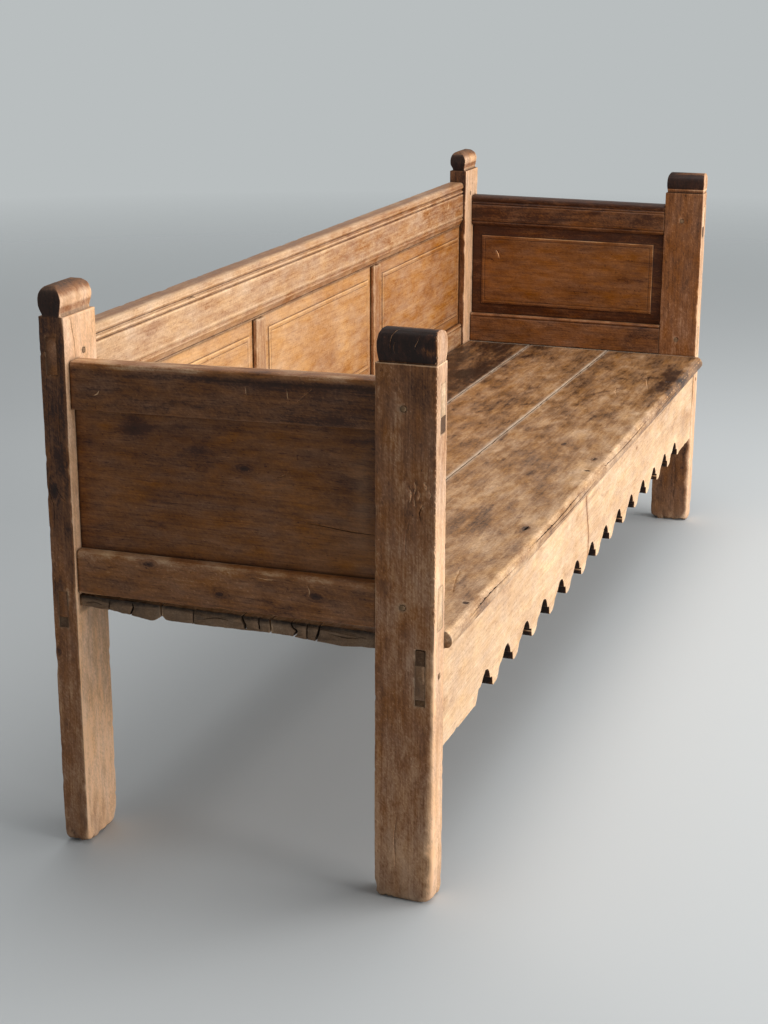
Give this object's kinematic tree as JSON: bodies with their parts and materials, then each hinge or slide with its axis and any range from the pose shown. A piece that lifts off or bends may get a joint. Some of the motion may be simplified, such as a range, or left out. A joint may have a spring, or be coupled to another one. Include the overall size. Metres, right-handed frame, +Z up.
{
  "type": "monks bench",
  "caption": "Long joined wooden bench with a fixed panelled back, panelled arms, a plank seat, a scalloped apron and posts ending in carved rolls.",
  "frame": {"origin": "on the floor, under the middle of the whole bench's bounding box", "axes": "+X along the bench towards the right arm as seen from the front, +Y from the front edge of the seat towards the back, +Z up"},
  "size_m": [2.2494, 0.6825, 0.9632],
  "materials": {
    "post_wood": "old waxed hardwood, worn and dark on the outer faces",
    "rail_wood": "old waxed hardwood, honey brown with rubbed mouldings",
    "panel_wood": "old waxed hardwood, warm honey brown",
    "seat_wood": "old waxed planks, polished by use, with dirt in the joints",
    "bearer_wood": "bare sawn wood, never waxed",
    "peg_wood": "dark end grain of pegs and wedges",
    "iron": "forged iron nails, dull and dark"
  },
  "bodies": {
    "root": {"post_front_left": "post_wood", "post_front_right": "post_wood", "post_back_left": "post_wood", "post_back_right": "post_wood", "apron": "rail_wood", "crest_rail": "rail_wood", "back_bottom_rail": "rail_wood", "muntin_left": "rail_wood", "muntin_right": "rail_wood", "back_panel_left": "panel_wood", "back_panel_middle": "panel_wood", "back_panel_right": "panel_wood", "arm_top_rail_left": "rail_wood", "arm_top_rail_right": "rail_wood", "arm_bottom_rail_left": "rail_wood", "arm_bottom_rail_right": "rail_wood", "arm_panel_left": "panel_wood", "arm_panel_right": "panel_wood", "seat_plank_front": "seat_wood", "seat_plank_middle": "seat_wood", "seat_plank_back": "seat_wood", "cross_bearer_left": "bearer_wood", "cross_bearer_middle": "bearer_wood", "cross_bearer_right": "bearer_wood", "apron_wedge_lower_left": "peg_wood", "apron_wedge_lower_right": "peg_wood", "apron_wedge_upper_left": "peg_wood", "apron_wedge_upper_right": "peg_wood", "arm_wedge_left": "peg_wood", "arm_wedge_right": "peg_wood", "back_wedge_left": "peg_wood", "back_wedge_right": "peg_wood", "peg_arm_top_left": "peg_wood", "peg_arm_top_right": "peg_wood", "peg_arm_bottom_left": "peg_wood", "peg_arm_bottom_right": "peg_wood", "peg_apron_left": "peg_wood", "peg_apron_right": "peg_wood", "peg_crest_left": "peg_wood", "peg_crest_right": "peg_wood", "peg_bottom_rail_left": "peg_wood", "peg_bottom_rail_right": "peg_wood", "seat_nail_1": "iron", "seat_nail_2": "iron", "seat_nail_3": "iron"}
  },
  "joints": []
}
